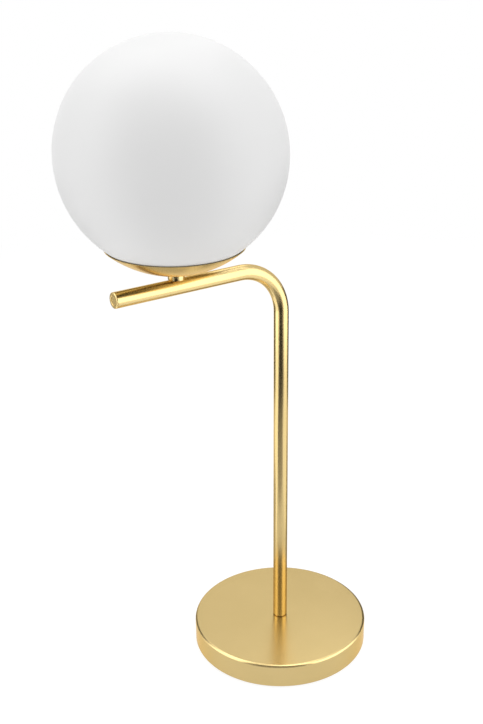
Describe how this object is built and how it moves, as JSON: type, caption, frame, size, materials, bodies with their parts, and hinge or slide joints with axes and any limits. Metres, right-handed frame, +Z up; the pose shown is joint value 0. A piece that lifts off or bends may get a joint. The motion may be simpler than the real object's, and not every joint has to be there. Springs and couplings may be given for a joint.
{
  "type": "table lamp",
  "caption": "Table lamp: opal glass globe in a shallow dish, carried off-centre on a bent tube over a round weighted base.",
  "frame": {"origin": "on the pole's axis, in the plane of the base pad's underside", "axes": "+Z up along the pole; -X along the arm towards its free end; the cord inlet is at +X"},
  "size_m": [0.3093, 0.2, 0.6382],
  "materials": {
    "satin_gold": "fine satin pale gold",
    "cast_iron": "as cast",
    "zinc_steel": "zinc plated",
    "turned_brass": "turned",
    "aluminium": "spun",
    "base_felt": "matt foam pad",
    "soft_ring": "translucent white silicone",
    "black_plastic": "moulded",
    "pale_plastic": "moulded",
    "brown_wire": "extruded insulation",
    "blue_wire": "extruded insulation",
    "nickel_cap": "nickel plated, rolled",
    "black_glass": "glassy insulator",
    "bulb_white": "opal white",
    "opal_glass": "opal, satin etched"
  },
  "bodies": {
    "stand": {"base_pad": "base_felt", "base_plate": "zinc_steel", "plate_screws": "zinc_steel", "base_weight": "cast_iron", "base_shell": "satin_gold", "cord_bushing": "black_plastic", "terminal_block": "pale_plastic", "terminal_screws": "turned_brass", "foot_spigot": "zinc_steel", "foot_washer": "zinc_steel", "foot_lock_washer": "zinc_steel", "foot_nut": "zinc_steel", "stem_tube": "satin_gold", "arm_end_cap": "satin_gold", "arm_insert": "turned_brass", "neck_collar": "satin_gold", "neck_nipple": "zinc_steel", "dish": "satin_gold", "gallery": "aluminium", "dish_lock_washer": "zinc_steel", "dish_nut": "zinc_steel", "socket_cap": "black_plastic", "socket_core": "pale_plastic", "socket_skirt": "black_plastic", "screw_shell": "turned_brass", "centre_contact": "turned_brass", "socket_terminals": "turned_brass", "socket_screws": "zinc_steel", "live_wire": "brown_wire", "neutral_wire": "blue_wire"},
    "globe_lift_ring": {"globe_gasket": "soft_ring"},
    "globe": {"globe_glass": "opal_glass", "globe_collar": "aluminium"},
    "bulb_contact": {"bulb_tip": "turned_brass"},
    "bulb": {"bulb_insulator": "black_glass", "bulb_cap": "nickel_cap", "bulb_housing": "bulb_white", "bulb_diffuser": "bulb_white"}
  },
  "joints": [
    {"name": "globe_lift", "type": "slide", "parent": "stand", "child": "globe_lift_ring", "axis": [0, 0, 1], "range_m": [0, 0.22]},
    {"name": "globe_turn", "type": "hinge", "parent": "globe_lift_ring", "child": "globe", "pos_m": [-0.1165, 0, 0.4497], "axis": [0, 0, 1], "range_deg": [0, 540]},
    {"name": "bulb_rise", "type": "slide", "parent": "stand", "child": "bulb_contact", "axis": [0, 0, 1], "range_m": [0, 0.02]},
    {"name": "bulb_turn", "type": "hinge", "parent": "bulb_contact", "child": "bulb", "pos_m": [-0.1165, 0, 0.4838], "axis": [0, 0, 1], "range_deg": [0, 1980]}
  ],
  "couplings": [
    {"joint": "bulb_rise", "follows": "bulb_turn", "m_per_rad": 0.00057757}
  ]
}
